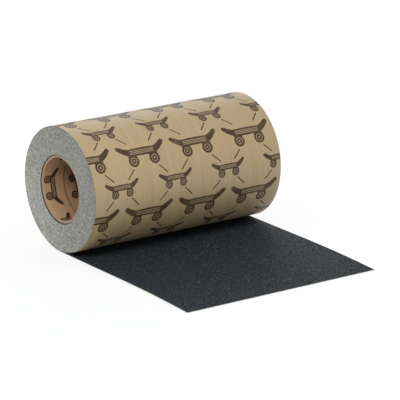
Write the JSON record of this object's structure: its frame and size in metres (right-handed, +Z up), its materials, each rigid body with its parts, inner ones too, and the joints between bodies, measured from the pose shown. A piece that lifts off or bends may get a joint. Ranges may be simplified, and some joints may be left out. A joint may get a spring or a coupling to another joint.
{
  "type": "grip tape roll",
  "caption": "Roll of abrasive skateboard grip tape with a printed paper release liner, wound on a hollow paper core, its free end laid flat in front of it.",
  "frame": {"origin": "middle of the core's bore, on its axis", "axes": "+X along the core, +Z up; the tape leaves the bottom of the roll and lies flat towards -Y"},
  "size_m": [0.2666, 0.3322, 0.1505],
  "materials": {
    "liner_paper": "smooth kraft paper, printed in dark brown on its outer face",
    "adhesive": "clear tacky film",
    "backing_film": "matt black film",
    "grit": "black silicon carbide grit, coarse, with a faint sparkle",
    "winding_edge": "cut edges of the wound tape, grit and paper in fine turns, grey with dust",
    "core_board": "dull tan paper board",
    "core_print_paper": "kraft paper, printed in dark brown on its inner face",
    "double_sided_tape": "yellowish film"
  },
  "bodies": {
    "tail": {"tail_liner": "liner_paper", "tail_adhesive": "adhesive", "tail_film": "backing_film", "tail_grit": "grit"},
    "lead_in": {"lead_in_liner": "liner_paper", "lead_in_adhesive": "adhesive", "lead_in_film": "backing_film", "lead_in_grit": "grit"},
    "roll": {"core_inner_ply": "core_print_paper", "core_body_ply_1": "core_board", "core_body_ply_2": "core_board", "core_body_ply_3": "core_board", "core_outer_ply": "core_board", "core_start_tape": "double_sided_tape", "first_turn_liner": "liner_paper", "first_turn_adhesive": "adhesive", "first_turn_film": "backing_film", "first_turn_grit": "grit", "wound_turns": "winding_edge", "outer_turn_liner": "liner_paper", "outer_turn_adhesive": "adhesive", "outer_turn_film": "backing_film", "outer_turn_grit": "grit"}
  },
  "joints": [
    {"name": "lay_out", "type": "slide", "parent": "tail", "child": "lead_in", "axis": [0, 1, 0], "range_m": [0, 0.581]},
    {"name": "roll_turn", "type": "hinge", "parent": "lead_in", "child": "roll", "pos_m": [0, 0, 0], "axis": [-1, 0, 0], "range_deg": [0, 441]}
  ],
  "couplings": [
    {"joint": "roll_turn", "follows": "lay_out", "rad_per_m": 13.232}
  ]
}
